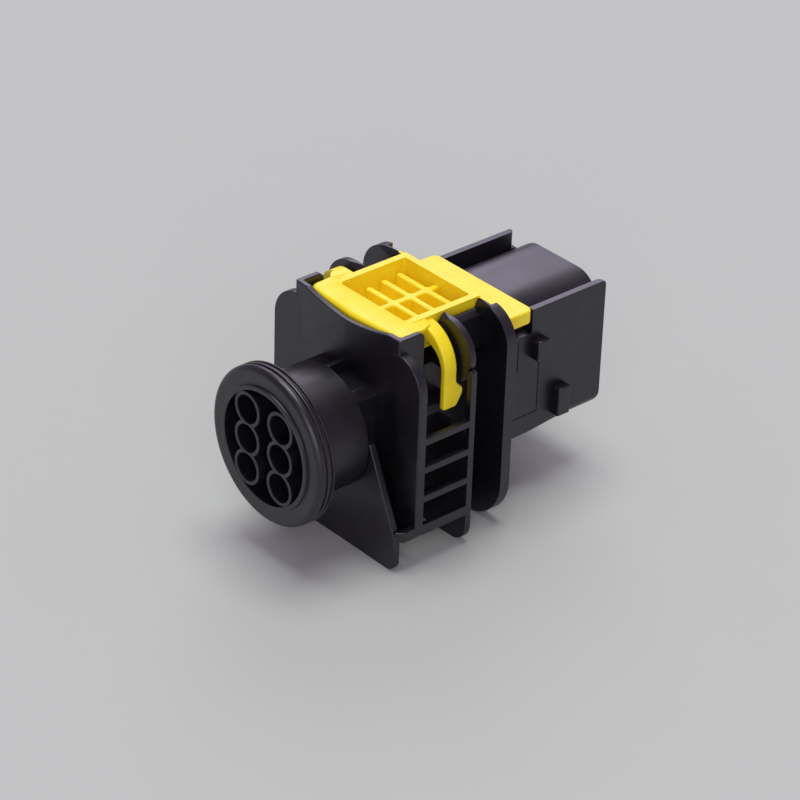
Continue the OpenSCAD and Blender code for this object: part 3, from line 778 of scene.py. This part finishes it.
def trayRibs(bm):  # three ribs across, round at their left ends
    inner, low, r = lock["half"] - lock["wall"] + sunk, lock["floor"] - sunk, ribs["wide"] / 2
    for i, start in enumerate(ribs["starts"]):
        y = ribs["first"] + i * ribs["pitch"]
        prism(bm, arc(start + r, y, r, 90, 270, 8) + [(inner, y - r), (inner, y + r)], "z", low, ribs["top"])


def longRib(bm):
    half, low = ribs["wide"] / 2, lock["floor"] - sunk
    block(bm, (-half, lock["trayFront"] - sunk, low), (half, lock["trayBack"] + sunk, ribs["top"]))


tab = {"half": 12.65, "front": 39.75, "back": 49.05, "top": 15.4, "low": 12.75, "corner": (0.3, 0.45, 1.1),
       "neckIn": 0.4, "lap": 0.2}


def rearTab(bm):
    half, back, (across, along, cut) = tab["half"], tab["back"], tab["corner"]
    right = [(0, tab["front"]), (half, tab["front"]), (half, back - cut), (half - across, back - along)]
    prism(bm, bothHalves(right + [(half - cut, back), (0, back)]), "z", tab["low"], tab["top"])


def tabNeck(bm):
    block(bm, (-lock["half"], lock["trayBack"] + tab["neckIn"], tab["low"]),
          (lock["half"], tab["front"] + tab["lap"], tab["top"]))


comb = {"half": 7.89, "ends": (32.7, 34.3), "low": -9.17, "top": 14.8, "windowHalf": 2.2, "windowHigh": 2.0}


def lockComb(bm):
    front, back = comb["ends"]
    block(bm, (-comb["half"], front, comb["low"]), (comb["half"], back, comb["top"]))


def combWindows(bm):
    half, high, (front, back) = comb["windowHalf"], comb["windowHigh"], comb["ends"]
    for x, z in cells:
        block(bm, (x - half, front - clear, z - high), (x + half, back + clear, z + high))


solid("lockRibs", trayRibs, yellow, edge=0.34, joined=[longRib])
solid("lockTab", rearTab, yellow, edge=0.35, joined=[tabNeck])
solid("lockComb", lockComb, yellow, edge=0.12, cuts=[combWindows], segments=2)
print("secondary lock")

# contacts and seals stay as they are built
tin, rubber = tinnedMetal(), sealRubber()
for name, made in nodes.items():
    finish = tin if name.startswith("contact") else rubber if name.startswith("wire_seal") else None
    if finish:
        for part in made.material_slots:
            part.material = finish

# floor, light and camera
studio = {"floor": rgb(0.492, 0.502, 0.486), "floorPale": rgb(0.500, 0.510, 0.494), "floorHalf": 3000,
          "floorThick": 1.0, "world": rgb(1.06, 0.88, 1.25), "worldLevel": 0.28}
lamps = {"top": {"level": 1.88, "angle": 36.0, "from": (-0.10, 0.10, 0.99), "colour": (0.98, 1.03, 0.93)},
         "front": {"level": 0.92, "angle": 44.0, "from": (0.694, -0.583, 0.423), "colour": (1.0, 1.0, 1.0)},
         "back": {"level": 0.60, "angle": 33.0, "from": (-0.623, 0.561, 0.545), "colour": (1.0, 0.96, 1.12)}}


def floorCard(bm):
    half, top = studio["floorHalf"], plates["foot"]
    block(bm, (-half, -half, top - studio["floorThick"]), (half, half, top))


floorMaterial, start, place = newMaterial("floorCard")
finishMaterial(start, {"Base Color": place.noise(0.05, 3.0).blend(studio["floor"], studio["floorPale"]),
                       "Roughness": 0.9, "Specular IOR Level": 0.1})
floor = meshObject("floorCard", floorCard)
floor.data.materials.append(floorMaterial)

world = bpy.data.worlds.new("studio")
bpy.context.scene.world = world
world.use_nodes = True
world.node_tree.nodes["Background"].inputs["Color"].default_value = studio["world"]
world.node_tree.nodes["Background"].inputs["Strength"].default_value = studio["worldLevel"]

for name, look in lamps.items():
    lamp = bpy.data.lights.new(name, "SUN")
    lamp.energy, lamp.angle, lamp.color = look["level"], math.radians(look["angle"]), look["colour"]
    hung = bpy.data.objects.new(name, lamp)
    hung.rotation_mode = "QUATERNION"
    hung.rotation_quaternion = Vector(look["from"]).to_track_quat("Z", "Y")
    bpy.context.scene.collection.objects.link(hung)

# the photograph's viewing angle in degrees, distances in millimetres and focal length in pixels
shot = {"azimuth": 48.064, "elevation": 30.929, "roll": 1.948, "distance": 570.661, "focal": 3316.17,
        "aside": -0.044, "above": 1.45, "aim": (0.0, 30.25, 0.0), "frame": 800, "sensor": 36.0}


def cameraFrame():
    a, e, r = (math.radians(shot[name]) for name in ("azimuth", "elevation", "roll"))
    right = Vector((math.cos(a), math.sin(a), 0))
    up = Vector((-math.sin(a) * math.sin(e), math.cos(a) * math.sin(e), math.cos(e)))
    back = Vector((math.sin(a) * math.cos(e), -math.cos(a) * math.cos(e), math.sin(e)))
    return math.cos(r) * right + math.sin(r) * up, math.cos(r) * up - math.sin(r) * right, back


right, up, back = cameraFrame()
spot = Vector(shot["aim"]) - right * shot["aside"] - up * shot["above"] + back * shot["distance"]
camera = bpy.data.cameras.new("photo")
camera.sensor_width = shot["sensor"]
camera.lens = shot["sensor"] * shot["focal"] / shot["frame"]
camera.clip_start, camera.clip_end = 0.01, 20.0
shooter = bpy.data.objects.new("photo", camera)
shooter.matrix_world = Matrix((right, up, back)).transposed().to_4x4()
shooter.location = spot * mm
bpy.context.scene.collection.objects.link(shooter)
bpy.context.scene.camera = shooter
bpy.context.scene.view_settings.view_transform = "Standard"
print("studio")
